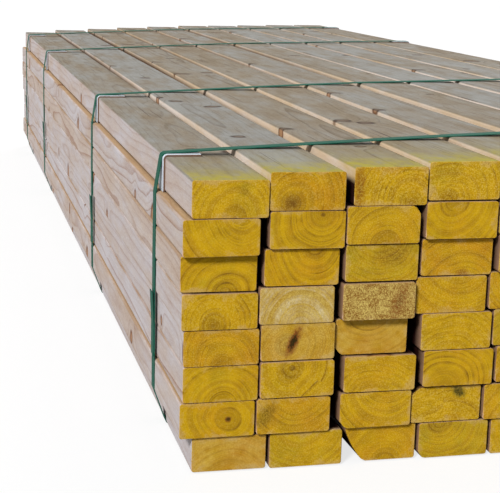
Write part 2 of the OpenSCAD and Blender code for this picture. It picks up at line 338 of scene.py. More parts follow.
def pine_material(length, width):
    """Pine, sawn and eased: pale wood with brown late wood, knots, grey where it lay open to the
    weather, and painted on the ends. Lengths in it are millimetres."""
    material = bpy.data.materials.new("sawn_pine_with_painted_ends")
    material.use_nodes = True
    tree = material.node_tree
    tree.nodes.clear()
    in_stud = add(tree, "ShaderNodeAttribute", out="Vector", attribute_name="in_stud")
    in_log = add(tree, "ShaderNodeAttribute", out="Vector", attribute_name="in_log")
    look = add(tree, "ShaderNodeAttribute", out="Vector", attribute_name="stud_look")
    bare = add(tree, "ShaderNodeAttribute", out="Vector", attribute_name="open_faces")
    paint_look = add(tree, "ShaderNodeAttribute", out="Vector", attribute_name="paint_look")
    stain_place = add(tree, "ShaderNodeAttribute", out="Vector", attribute_name="stain_place")
    stain_form = add(tree, "ShaderNodeAttribute", out="Vector", attribute_name="stain_form")
    mould = add(tree, "ShaderNodeAttribute", out="Fac", attribute_name="mould")
    wane = add(tree, "ShaderNodeAttribute", out="Fac", attribute_name="wane")
    stud_x, stud_y, stud_z = add(tree, "ShaderNodeSeparateXYZ", (in_stud,)).node.outputs
    seed, shade, thickness = add(tree, "ShaderNodeSeparateXYZ", (look,)).node.outputs
    bare_left, bare_right, bare_level = add(tree, "ShaderNodeSeparateXYZ", (bare,)).node.outputs
    bare_top = add(tree, "ShaderNodeMath", (bare_level, 0.0), operation="MAXIMUM")
    bare_low = add(tree, "ShaderNodeMath", (bare_level, -1.0), operation="MULTIPLY", use_clamp=True)
    cover, tint, rough_sawn = add(tree, "ShaderNodeSeparateXYZ", (paint_look,)).node.outputs
    log_x, _, log_z = add(tree, "ShaderNodeSeparateXYZ", (in_log,)).node.outputs
    across_log = add(tree, "ShaderNodeCombineXYZ", (log_x, log_z))
    radius = add(tree, "ShaderNodeVectorMath", (across_log,), out="Value", operation="LENGTH")

    # Which face this is: open to the weather on top or on an outer side, or shut in the stack. One face
    # gives way to the next over the eased edge
    edge_in = 3.0
    edge_out = 1.0
    from_right = add(tree, "ShaderNodeMath", (width, stud_x), operation="SUBTRACT")
    from_top = add(tree, "ShaderNodeMath", (thickness, stud_z), operation="SUBTRACT")
    far_way = add(tree, "ShaderNodeMath", (length, stud_y), operation="SUBTRACT")
    from_end = add(tree, "ShaderNodeMath", (stud_y, far_way), operation="MINIMUM")
    on_left = add(tree, "ShaderNodeMapRange",
                  {"Value": stud_x, 1: edge_in, 2: edge_out, "To Max": bare_left})
    on_right = add(tree, "ShaderNodeMapRange",
                   {"Value": from_right, 1: edge_in, 2: edge_out, "To Max": bare_right})
    on_side = add(tree, "ShaderNodeMath", (on_left, on_right), operation="MAXIMUM")
    on_top = add(tree, "ShaderNodeMapRange",
                 {"Value": from_top, 1: edge_in, 2: edge_out, "To Max": bare_top})
    on_low = add(tree, "ShaderNodeMapRange",
                 {"Value": stud_z, 1: edge_in, 2: edge_out, "To Max": bare_low})
    beside = add(tree, "ShaderNodeMath", (stud_x, from_right), operation="MINIMUM")
    beside = add(tree, "ShaderNodeMapRange", (beside, edge_in, edge_out))
    at_end = add(tree, "ShaderNodeMapRange", (from_end, 1.0, 0.7))

    # Growth rings, bent out round the knots, as wide as in fast-grown pine
    ring = 6.5
    fine_ring = 2.6
    wander_by = 36.0
    crinkle_by = 4.0
    knot_bend = 11.0
    in_knot = knot_distance(tree, in_log, radius, seed, in_stud)
    swirl = add(tree, "ShaderNodeMath", (in_knot, 2.0), operation="POWER")
    swirl = add(tree, "ShaderNodeMath", (swirl, -0.14), operation="MULTIPLY")
    swirl = add(tree, "ShaderNodeMath", (swirl,), operation="EXPONENT")
    wander = pattern(tree, in_log, seed, 130, 560, 130)
    crinkle = pattern(tree, in_log, seed, 60, 170, 60)
    grown = add(tree, "ShaderNodeMath", (wander, wander_by, radius), operation="MULTIPLY_ADD")
    grown = add(tree, "ShaderNodeMath", (crinkle, crinkle_by, grown), operation="MULTIPLY_ADD")
    grown = add(tree, "ShaderNodeMath", (swirl, knot_bend, grown), operation="MULTIPLY_ADD")
    late = ring_lines(tree, grown, seed, ring, 0.45)
    thin_late = ring_lines(tree, grown, seed, ring, 0.68)
    fine_late = ring_lines(tree, grown, seed, fine_ring, 0.2)
    first_band = add(tree, "ShaderNodeMath", (seed, 300.0), operation="MULTIPLY")
    band = add(tree, "ShaderNodeMath", (grown, 0.12, first_band), operation="MULTIPLY_ADD")
    band = add(tree, "ShaderNodeTexNoise", {"W": band, "Scale": 1.0, "Detail": 2.0}, noise_dimensions="1D")
    fibre = pattern(tree, in_stud, seed, 1.8, 45, 1.8, detail=4.0, roughness=0.7)
    cloud = pattern(tree, in_stud, seed, 45, 200, 45, detail=5.0, roughness=0.65)
    patch = pattern(tree, in_stud, seed, 24, 60, 18, detail=3.0, roughness=0.6)
    mottle = pattern(tree, in_stud, seed, 5, 40, 8, detail=4.0, roughness=0.75)
    speckle = pattern(tree, in_stud, seed, 1.6, 10, 1.6, detail=2.0, roughness=0.7)

    # How brown the wood is: late wood, fibres, clouds and the stud's own shade
    band_share = add(tree, "ShaderNodeMapRange", (on_side, 0.0, 1.0, 0.15, 0.3))
    tone = add(tree, "ShaderNodeMath", (thin_late, 0.28, -0.75), operation="MULTIPLY_ADD")
    tone = add(tree, "ShaderNodeMath", (late, band_share, tone), operation="MULTIPLY_ADD")
    tone = add(tree, "ShaderNodeMath", (fibre, 0.45, tone), operation="MULTIPLY_ADD")
    tone = add(tree, "ShaderNodeMath", (speckle, 0.55, tone), operation="MULTIPLY_ADD")
    tone = add(tree, "ShaderNodeMath", (cloud, 0.9, tone), operation="MULTIPLY_ADD")
    blotch = add(tree, "ShaderNodeMapRange", (patch, 0.3, 0.7, -0.12, 0.15))
    tone = add(tree, "ShaderNodeMath", (blotch, on_top, tone), operation="MULTIPLY_ADD")
    tone = add(tree, "ShaderNodeMath", (shade, 0.08, tone), operation="MULTIPLY_ADD", use_clamp=True)
    warm = add(tree, "ShaderNodeMath", (shade, 0.15, cloud), operation="MULTIPLY_ADD")
    warm = add(tree, "ShaderNodeMath", (patch, 0.4, warm), operation="MULTIPLY_ADD")
    warm = add(tree, "ShaderNodeMapRange", (warm, 0.55, 0.9))

    # Wood: tan inside the stack, cream on the fresh strips beside the top faces, pale pink or lilac grey on
    # the outer sides, and grey with brown clouds on top. The inner sides of the lower layers get a darker
    # pink-brown, which is painted shade of the gaps between the columns
    strip_pale = add(tree, "ShaderNodeMix", {0: warm, 6: linear("#E6DAD0"), 7: linear("#E6CFAE")}, out=2,
                     data_type="RGBA")
    pale = add(tree, "ShaderNodeMix", {0: bare_top, 6: linear("#BC9E7C"), 7: strip_pale}, out=2,
               data_type="RGBA")
    brown = add(tree, "ShaderNodeMix", {0: bare_top, 6: linear("#8E6C48"), 7: linear("#C4A580")}, out=2,
                data_type="RGBA")
    # Painted shade: the inner sides of the lower layers, deep in the gaps, are darkened to a pink-brown
    gap_side_shade = add(tree, "ShaderNodeMath", (beside, bare_top), operation="SUBTRACT", use_clamp=True)
    pale = add(tree, "ShaderNodeMix", {0: gap_side_shade, 6: pale, 7: linear("#9A7767")}, out=2,
               data_type="RGBA")
    side_pale = add(tree, "ShaderNodeMix", {0: warm, 6: linear("#CBC5C7"), 7: linear("#D3C6BA")}, out=2,
                    data_type="RGBA")
    pale = add(tree, "ShaderNodeMix", {0: on_side, 6: pale, 7: side_pale}, out=2, data_type="RGBA")
    brown = add(tree, "ShaderNodeMix", {0: on_side, 6: brown, 7: linear("#966F5A")}, out=2,
                data_type="RGBA")
    top_pale = add(tree, "ShaderNodeMix", {0: warm, 6: linear("#8E8D88"), 7: linear("#928570")}, out=2,
                   data_type="RGBA")
    pale = add(tree, "ShaderNodeMix", {0: on_top, 6: pale, 7: top_pale}, out=2, data_type="RGBA")
    brown = add(tree, "ShaderNodeMix", {0: on_top, 6: brown, 7: linear("#5E5042")}, out=2,
                data_type="RGBA")
    wood = add(tree, "ShaderNodeMix", {0: tone, 6: pale, 7: brown}, out=2, data_type="RGBA")

    # The eased edges of the outer sides keep the colour of fresh wood in places
    to_edge = add(tree, "ShaderNodeMath", (bare_top, 50.0, from_top), operation="MULTIPLY_ADD")
    to_edge = add(tree, "ShaderNodeMath", (stud_z, to_edge), operation="MINIMUM")
    fresh_edge = add(tree, "ShaderNodeMapRange", {"Value": to_edge, 1: 4.0, 2: 1.5, "To Max": on_side})
    in_places = add(tree, "ShaderNodeMapRange", (cloud, 0.42, 0.6, 0.1, 0.8))
    fresh_edge = add(tree, "ShaderNodeMath", (fresh_edge, in_places), operation="MULTIPLY")
    wood = add(tree, "ShaderNodeMix", {0: fresh_edge, 6: wood, 7: linear("#A08365")}, out=2,
               data_type="RGBA")

    # Knots have a dark outline, and a core a little darker than the wood
    knot = add(tree, "ShaderNodeMapRange", (in_knot, 1.05, 0.9, 0.0, 0.8), interpolation_type="SMOOTHSTEP")
    rim = add(tree, "ShaderNodeMapRange", (in_knot, 0.6, 1.0), interpolation_type="SMOOTHSTEP")
    rim_out = add(tree, "ShaderNodeMapRange", (in_knot, 1.45, 1.0, 0.0, 0.9),
                  interpolation_type="SMOOTHSTEP")
    rim = add(tree, "ShaderNodeMath", (rim, rim_out), operation="MULTIPLY")
    knot_colour = add(tree, "ShaderNodeMix", {0: on_top, 6: linear("#A8764A"), 7: linear("#604B3C")}, out=2,
                      data_type="RGBA")
    rim_colour = add(tree, "ShaderNodeMix", {0: on_top, 6: linear("#6A4328"), 7: linear("#3A2D26")}, out=2,
                     data_type="RGBA")
    wood = add(tree, "ShaderNodeMix", {0: knot, 6: wood, 7: knot_colour}, out=2, data_type="RGBA")
    wood = add(tree, "ShaderNodeMix", {0: rim, 6: wood, 7: rim_colour}, out=2, data_type="RGBA")

    # Drying checks along the grain of the weathered top, and bark left on the waned edges
    check = pattern(tree, in_stud, seed, 2.2, 240, 2.2, detail=1.0)
    check = add(tree, "ShaderNodeMapRange", {"Value": check, 1: 0.7, 2: 0.76, "To Max": on_top})
    wood = add(tree, "ShaderNodeMix", {0: check, 6: wood, 7: linear("#5A4E44")}, out=2,
               data_type="RGBA")
    bark = add(tree, "ShaderNodeMix", {0: patch, 6: linear("#3A2416"), 7: linear("#7E5434")}, out=2,
               data_type="RGBA")
    waned = add(tree, "ShaderNodeMapRange", (wane, 0.3, 2.0, 0.0, 0.85))
    wood = add(tree, "ShaderNodeMix", {0: waned, 6: wood, 7: bark}, out=2, data_type="RGBA")

    # Overspray on the faces beside the near ends: wide, greenish and blotched on top, faint elsewhere
    near_reach = 80.0
    wide_reach = 200.0
    near = add(tree, "ShaderNodeMapRange", (stud_y, near_reach, 5.0, 0.0, 0.65))
    wide = add(tree, "ShaderNodeMapRange", (stud_y, wide_reach, 40.0, 0.0, 0.25))
    drift = add(tree, "ShaderNodeMath", (near, wide), operation="ADD")
    drops = pattern(tree, in_stud, seed, 16, 28, 16, detail=4.0, roughness=0.7)
    drops = add(tree, "ShaderNodeMapRange", (drops, 0.3, 0.7, 0.35, 1.6))
    drift = add(tree, "ShaderNodeMath", (drift, drops), operation="MULTIPLY")
    caught = add(tree, "ShaderNodeMapRange", (bare_top, 0.0, 1.0, 0.1, 0.5))
    caught = add(tree, "ShaderNodeMath", (caught, on_top), operation="MAXIMUM")
    caught = add(tree, "ShaderNodeMix", {0: on_side, 2: caught, 3: 0.03})
    drift = add(tree, "ShaderNodeMath", (drift, caught), operation="MULTIPLY", use_clamp=True)
    drift_colour = add(tree, "ShaderNodeMix", {0: on_top, 6: linear("#C9AB4E"), 7: linear("#A0943C")}, out=2,
                       data_type="RGBA")
    wood = add(tree, "ShaderNodeMix", {0: drift, 6: wood, 7: drift_colour}, out=2, data_type="RGBA")

    # Painted shade: faces shut in the stack are painted dark from a finger's width in from the open air,
    # standing in for the shadow deep in the gaps; beside the top faces only a strip stays unshaded, which is
    # widest near the painted ends
    lit_between = 9.0
    lit_beside = 22.0
    unshaded_strip = 11.0
    to_left = add(tree, "ShaderNodeMath", (bare_left, -1000.0, 992.0), operation="MULTIPLY_ADD")
    to_left = add(tree, "ShaderNodeMath", (to_left, stud_x), operation="ADD")
    to_right = add(tree, "ShaderNodeMath", (bare_right, -1000.0, 992.0), operation="MULTIPLY_ADD")
    to_right = add(tree, "ShaderNodeMath", (to_right, from_right), operation="ADD")
    depth = add(tree, "ShaderNodeMath", (to_left, to_right), operation="MINIMUM")
    depth = add(tree, "ShaderNodeMath", (depth, from_end), operation="MINIMUM")
    light_reach = add(tree, "ShaderNodeMapRange", (beside, 0.0, 1.0, lit_between, lit_beside))
    shut = add(tree, "ShaderNodeMapRange", (depth, 1.0, light_reach))
    reach = add(tree, "ShaderNodeMapRange", (stud_y, 100.0, 1500.0, unshaded_strip, 0.0))
    below = add(tree, "ShaderNodeMath", (from_top, reach), operation="SUBTRACT")
    below = add(tree, "ShaderNodeMapRange", (below, 0.0, 9.0))
    shut = add(tree, "ShaderNodeMix", {0: bare_top, 2: shut, 3: below})
    open_air = add(tree, "ShaderNodeMath", (on_side, on_top), operation="MAXIMUM")
    open_air = add(tree, "ShaderNodeMath", (open_air, on_low), operation="MAXIMUM")
    shut = add(tree, "ShaderNodeMath", (shut, open_air), operation="SUBTRACT", use_clamp=True)
    inward = add(tree, "ShaderNodeMapRange", {"Value": stud_y, 1: 300.0, 2: 900.0, "To Max": bare_top})
    # Painted shade colour: near black, and browner further along the top layer's sides
    gap_shade_colour = add(tree, "ShaderNodeMix", {0: inward, 6: linear("#26120F"), 7: linear("#6A5240")}, out=2,
                  data_type="RGBA")
    wood = add(tree, "ShaderNodeMix", {0: shut, 6: wood, 7: gap_shade_colour}, out=2, data_type="RGBA")

    # Paint on the end grain: gold, in places more orange or more olive, with rings just showing
    orange = add(tree, "ShaderNodeMath", (cloud, 2.4, tint), operation="MULTIPLY_ADD")
    olive = add(tree, "ShaderNodeMath", (1.1, orange), operation="SUBTRACT", use_clamp=True)
    orange = add(tree, "ShaderNodeMath", (orange, 1.3), operation="SUBTRACT", use_clamp=True)
    paint = add(tree, "ShaderNodeMix", {0: orange, 6: linear("#C59C12"), 7: linear("#BE8416")}, out=2,
                data_type="RGBA")
    paint = add(tree, "ShaderNodeMix", {0: olive, 6: paint, 7: linear("#A29022")}, out=2,
                data_type="RGBA")
    in_band = add(tree, "ShaderNodeMapRange", (band, 0.45, 0.65, 0.0, 0.45))
    paint = add(tree, "ShaderNodeMix", {0: in_band, 6: paint, 7: linear("#A37A1A")}, out=2,
                data_type="RGBA")
    shown = add(tree, "ShaderNodeMapRange", (patch, 0.35, 0.62, 0.15, 1.2))
    lines = add(tree, "ShaderNodeMath", (fine_late, 0.3), operation="MULTIPLY")
    lines = add(tree, "ShaderNodeMath", (late, 0.5, lines), operation="MULTIPLY_ADD")
    lines = add(tree, "ShaderNodeMath", (lines, shown), operation="MULTIPLY")
    clean_cut = add(tree, "ShaderNodeMapRange", (rough_sawn, 0.35, 0.12, 1.0, 1.2))
    lines = add(tree, "ShaderNodeMath", (lines, clean_cut), operation="MULTIPLY")
    core = add(tree, "ShaderNodeMath", (crinkle, 6.0, radius), operation="MULTIPLY_ADD")
    core = add(tree, "ShaderNodeMapRange", (core, 19.0, 17.0, 0.0, 0.26), interpolation_type="SMOOTHSTEP")
    pith = add(tree, "ShaderNodeMapRange", (radius, 4.5, 1.0, 0.0, 0.25), interpolation_type="SMOOTHSTEP")
    lines = add(tree, "ShaderNodeMath", (lines, core), operation="ADD")
    lines = add(tree, "ShaderNodeMath", (lines, pith), operation="ADD")
    uneven = add(tree, "ShaderNodeMapRange", (patch, 0.3, 0.75, -0.1, 0.25))
    lines = add(tree, "ShaderNodeMath", (lines, uneven), operation="ADD", use_clamp=True)
    paint = add(tree, "ShaderNodeMix", {0: lines, 6: paint, 7: linear("#775410")}, out=2,
                data_type="RGBA")

    # Where the paint is thin, the mottled end grain shows, brown in the late wood
    raw_tone = add(tree, "ShaderNodeMath", (mottle, patch), operation="ADD")
    raw_tone = add(tree, "ShaderNodeMath", (speckle, 0.8, raw_tone), operation="MULTIPLY_ADD")
    raw_tone = add(tree, "ShaderNodeMath", (late, cover, raw_tone), operation="MULTIPLY_ADD")
    brownest = add(tree, "ShaderNodeMapRange", (cover, 0.25, 0.8, 0.85, 0.15))
    raw_tone = add(tree, "ShaderNodeMapRange", {"Value": raw_tone, 1: 1.1, 2: 1.65, "To Max": brownest})
    raw = add(tree, "ShaderNodeMix", {0: raw_tone, 6: linear("#C9AF60"), 7: linear("#7C4A12")}, out=2,
              data_type="RGBA")
    bleached = add(tree, "ShaderNodeMapRange", (band, 0.42, 0.62, 0.0, 0.85))
    in_streaks = add(tree, "ShaderNodeMapRange", (mottle, 0.35, 0.6))
    bleached = add(tree, "ShaderNodeMath", (bleached, in_streaks), operation="MULTIPLY")
    sappy = add(tree, "ShaderNodeMapRange", (tint, 0.2, 0.0))
    bleached = add(tree, "ShaderNodeMath", (bleached, sappy), operation="MULTIPLY")
    raw = add(tree, "ShaderNodeMix", {0: bleached, 6: raw, 7: linear("#D6C9A2")}, out=2,
              data_type="RGBA")
    laid = add(tree, "ShaderNodeMath", (patch, 0.4, cover), operation="MULTIPLY_ADD")
    laid = add(tree, "ShaderNodeMapRange", (laid, 0.55, 0.85))
    painted = add(tree, "ShaderNodeMix", {0: laid, 6: raw, 7: paint}, out=2, data_type="RGBA")

    # The paint thins towards the edges in places
    to_rim = add(tree, "ShaderNodeMath", (stud_x, from_right), operation="MINIMUM")
    to_rim = add(tree, "ShaderNodeMath", (to_rim, from_top), operation="MINIMUM")
    to_rim = add(tree, "ShaderNodeMath", (to_rim, stud_z), operation="MINIMUM")
    to_rim = add(tree, "ShaderNodeMath", (patch, 40.0, to_rim), operation="MULTIPLY_ADD")
    to_rim = add(tree, "ShaderNodeMath", (speckle, 12.0, to_rim), operation="MULTIPLY_ADD")
    worn = add(tree, "ShaderNodeMapRange", (to_rim, 29.0, 22.0, 0.0, 0.6))
    painted = add(tree, "ShaderNodeMix", {0: worn, 6: painted, 7: linear("#B99A62")}, out=2,
                  data_type="RGBA")

    # The saw leaves the ends rough, some more than others, which speckles them
    dark_fleck = add(tree, "ShaderNodeMapRange", {"Value": speckle, 1: 0.5, 2: 0.75, "To Max": rough_sawn})
    pale_fleck = add(tree, "ShaderNodeMapRange", {"Value": speckle, 1: 0.5, 2: 0.25, "To Max": rough_sawn})
    painted = add(tree, "ShaderNodeMix", {0: dark_fleck, 6: painted, 7: linear("#6A4A1A")}, out=2,
                  data_type="RGBA")
    painted = add(tree, "ShaderNodeMix", {0: pale_fleck, 6: painted, 7: linear("#DCC670")}, out=2,
                  data_type="RGBA")

    # A knot or stain in the end, drawn out along its own direction
    stain_x, stain_z, stain_size = add(tree, "ShaderNodeSeparateXYZ", (stain_place,)).node.outputs
    stain_turn, stretch, strength = add(tree, "ShaderNodeSeparateXYZ", (stain_form,)).node.outputs
    off = add(tree, "ShaderNodeCombineXYZ", (stain_x, stud_y, stain_z))
    off = add(tree, "ShaderNodeVectorMath", (in_stud, off), operation="SUBTRACT")
    off = add(tree, "ShaderNodeVectorRotate", {"Vector": off, "Angle": stain_turn}, rotation_type="Y_AXIS")
    form = add(tree, "ShaderNodeCombineXYZ", (stretch, 1.0, 1.0))
    off = add(tree, "ShaderNodeVectorMath", (off, form), operation="DIVIDE")
    stain = add(tree, "ShaderNodeVectorMath", (off,), out="Value", operation="LENGTH")
    stain = add(tree, "ShaderNodeMath", (stain, stain_size), operation="DIVIDE")
    frayed = add(tree, "ShaderNodeMath", (speckle, mottle), operation="ADD")
    stain = add(tree, "ShaderNodeMath", (frayed, 1.6, stain), operation="MULTIPLY_ADD")
    stain_rim = add(tree, "ShaderNodeMapRange", {"Value": stain, 1: 3.0, 2: 2.3, "To Max": strength})
    rotten = add(tree, "ShaderNodeMapRange", (strength, 0.4, 1.0))
    stain_core = add(tree, "ShaderNodeMapRange", {"Value": stain, 1: 2.4, 2: 1.9, "To Max": rotten})
    at_near_end = add(tree, "ShaderNodeMapRange", (stud_y, 40.0, 2.0))
    broken_up = add(tree, "ShaderNodeMapRange", (speckle, 0.4, 0.6, 0.4, 1.3))
    stain_rim = add(tree, "ShaderNodeMath", (stain_rim, broken_up), operation="MULTIPLY")
    stain_rim = add(tree, "ShaderNodeMath", (stain_rim, at_near_end), operation="MULTIPLY", use_clamp=True)
    stain_core = add(tree, "ShaderNodeMath", (stain_core, at_near_end), operation="MULTIPLY")
    stain_colour = add(tree, "ShaderNodeMix", {0: mould, 6: linear("#80451E"), 7: linear("#4C4A20")}, out=2,
                       data_type="RGBA")
    painted = add(tree, "ShaderNodeMix", {0: stain_rim, 6: painted, 7: stain_colour}, out=2,
                  data_type="RGBA")
    painted = add(tree, "ShaderNodeMix", {0: stain_core, 6: painted, 7: linear("#33280F")}, out=2,
                  data_type="RGBA")
    colour = add(tree, "ShaderNodeMix", {0: at_end, 6: wood, 7: painted}, out=2, data_type="RGBA")

    # The lower edges of the ends broke away under the saw in places, and show pink bare wood
    broken = add(tree, "ShaderNodeMapRange", (from_end, 0.05, 0.2))
    kept = add(tree, "ShaderNodeMapRange", (from_end, 1.3, 1.0))
    low_edge = add(tree, "ShaderNodeMapRange", (stud_z, 14.0, 5.0, 0.0, 0.8))
    in_places = add(tree, "ShaderNodeMapRange", (patch, 0.42, 0.55))
    broken = add(tree, "ShaderNodeMath", (broken, kept), operation="MULTIPLY")
    broken = add(tree, "ShaderNodeMath", (broken, low_edge), operation="MULTIPLY")
    broken = add(tree, "ShaderNodeMath", (broken, in_places), operation="MULTIPLY")
    colour = add(tree, "ShaderNodeMix", {0: broken, 6: colour, 7: linear("#D2AE98")}, out=2,
                 data_type="RGBA")

    # Relief: fibres and late wood stand up, checks go down, and the sawn ends are grainy
    height = add(tree, "ShaderNodeMath", (late, 0.5), operation="MULTIPLY")
    height = add(tree, "ShaderNodeMath", (fibre, 0.6, height), operation="MULTIPLY_ADD")
    height = add(tree, "ShaderNodeMath", (check, -1.5, height), operation="MULTIPLY_ADD")
    grainy = add(tree, "ShaderNodeMath", (at_end, rough_sawn), operation="MULTIPLY")
    height = add(tree, "ShaderNodeMath", (speckle, grainy, height), operation="MULTIPLY_ADD")
    relief = add(tree, "ShaderNodeBump", {"Strength": 0.6, "Distance": 0.5 * MM, "Height": height})
    roughness = add(tree, "ShaderNodeMapRange", (tone, 0.0, 1.0, 0.65, 0.85))
    sheen = add(tree, "ShaderNodeMapRange", (waned, 0.0, 0.85, 0.05, 0.0))
    surface = add(tree, "ShaderNodeBsdfPrincipled", {
        "Base Color": colour, "Roughness": roughness, "Specular IOR Level": sheen, "Normal": relief,
    })
    add(tree, "ShaderNodeOutputMaterial", (surface,))
    return material


# Where the pith lies in the ends that show best, across and up from the stud's lower left corner in
# millimetres, from the top layer down and from the left; the other studs' are drawn by chance
SEEN_PITH = [
    [(50, 0), (26, 8), (70, 2), (23, 0)],
    [(65, 52), (62, 40), (48, 0), (36, 45)],
    [(50, -2), (60, 46), (40, 60), (55, -30)],
    [(37, 5), (50, -2), (45, -60), (50, 70)],
    [(47, -3), (30, 20), (45, 60), (40, -25)],
    [(46, -5), (38, 37), (45, -30), (25, -2)],
    [(58, 21), (45, 60), (60, 60), (45, -20)],
    [(38, -22), (40, 58), (50, -5), (25, 48)],
]
# Kinds of end: how well the paint covers, how olive or orange it is, and how rough the saw cut was
END_KINDS = {
    "golden": (1.0, 0.0, 0.35), "orange": (1.0, 0.4, 0.35), "olive": (0.95, -0.4, 0.3),
    "ringed": (1.0, 0.1, 0.18), "coarse": (0.9, 0.1, 0.5), "pale": (0.45, -0.2, 0.3),
    "bare": (0.25, 0.4, 0.7), "brown": (0.55, 0.5, 0.35), "tan": (0.55, 0.6, 0.12),
}
SEEN_ENDS = [
    ["golden", "orange", "coarse", "coarse"],
    ["ringed", "ringed", "golden", "ringed"],
    ["ringed", "ringed", "olive", "orange"],
    ["golden", "pale", "bare", "orange"],
    ["orange", "brown", "tan", "golden"],
    ["ringed", "golden", "golden", "ringed"],
    ["ringed", "orange", "golden", "coarse"],
    ["tan", "olive", "orange", "olive"],
]
# Knots and stains in the ends, by layer from the top and column: place across and up and size in
# millimetres, then direction in degrees, how drawn out, how dark, and how green with mould
END_STAINS = {
    (0, 0): (62, 34, 5, 90, 1.6, 0.25, 1.0),
    (0, 1): (25, 9, 9, 30, 1.5, 0.5, 0.4),
    (0, 2): (6, 22, 6, 90, 4.5, 0.5, 0.0),
    (2, 2): (58, 33, 15, 20, 1.5, 0.35, 0.5),
    (2, 3): (52, 3, 5, 0, 1.6, 0.5, 0.0),
    (3, 2): (70, 22, 8, 70, 2.6, 0.55, 0.0),
    (4, 1): (39, 23, 6, 68, 3.2, 1.0, 0.0),
    (5, 1): (39, 36, 3, 0, 1.2, 0.5, 0.5),
    (6, 0): (58, 22, 3.5, 0, 1.0, 0.9, 0.2),
    (6, 1): (12, 25, 9, 60, 1.8, 0.5, 0.8),
    (6, 3): (60, 38, 6, 140, 1.8, 0.8, 1.0),
}
WANED = {
    ("layer_1", 2): (-1, -1, 24, 41), ("layer_1", 3): (-1, -1, 6, 8), ("layer_2", 2): (-1, -1, 8, 9),
    ("layer_2", 3): (-1, 1, 13, 10), ("layer_4", 2): (-1, -1, 8, 10), ("layer_7", 2): (1, 1, 8, 11),
}
# Strips of the map that each layer's long faces get, by how well they show
MAP_STRIPS = {
    1: {"top": (31, 1), "bottom": (3, 1), "inner": (9, 1), "outer": (34, 1)},
    0: {"top": (8, 1), "bottom": (3, 1), "inner": (6, 1), "outer": (51, 3)},
    -1: {"top": (3, 1), "bottom": (24, 1), "inner": (3, 1), "outer": (40, 3)},
}
# Most that a stud leans off the one below, the gap that this leaves over it, and how far the pith
# wanders across the stud along each metre
ROLL = math.radians(0.3)
JOINT_GAP = (0.5 * MM, 1.6 * MM)
PITH_DRIFT = 9

stud_boxes = {layer: solids_of(layer) for layer in LAYERS}
first_low, first_high = stud_boxes[TOP_LAYER][0]
stud_length = float(first_high[1] - first_low[1])
stud_width = float(first_high[0] - first_low[0])
stud_thickness = 45 * MM
pine = pine_material(stud_length / MM, stud_width / MM)
stack_tree = stud_stack_tree()

